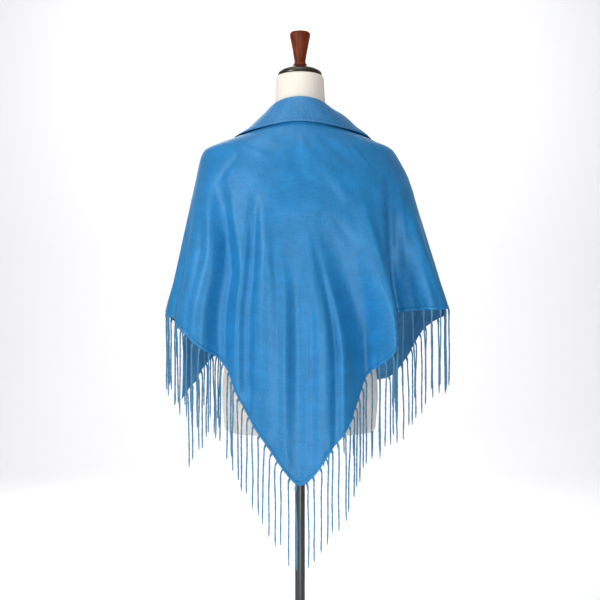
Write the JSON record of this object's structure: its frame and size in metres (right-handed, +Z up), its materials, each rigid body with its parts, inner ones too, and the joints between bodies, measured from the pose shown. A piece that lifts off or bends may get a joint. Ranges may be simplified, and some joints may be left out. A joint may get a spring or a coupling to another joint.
{
  "type": "fringed triangular shawl on a limbless dress form",
  "caption": "Triangular satin shawl with a turned-down upper edge and long knotted fringe, wrapped round a limbless dress form on a pole and round base.",
  "frame": {"origin": "centre of the base's underside, on the floor and on the pole's axis", "axes": "+Z up along the pole, the shawl's back and its long point face +Y, the wearer's right is -X"},
  "size_m": [0.5976, 0.35, 1.5235],
  "materials": {
    "shawl": "satin weave with a soft sheen",
    "fringe": "loosely twisted yarn",
    "form_cover": "plain cream cotton, matt",
    "cap": "dark satin metal",
    "knob": "dark stained and varnished",
    "stand": "gunmetal grey, satin"
  },
  "bodies": {
    "root": {"shawl_back": "shawl", "shawl_left_wing": "shawl", "shawl_right_wing": "shawl", "shawl_collar": "shawl", "fringe_back": "fringe", "fringe_left_wing": "fringe", "fringe_right_wing": "fringe", "form_body": "form_cover", "form_neck_cap": "cap", "form_knob": "knob", "form_pole": "stand", "form_base": "stand"}
  },
  "joints": []
}
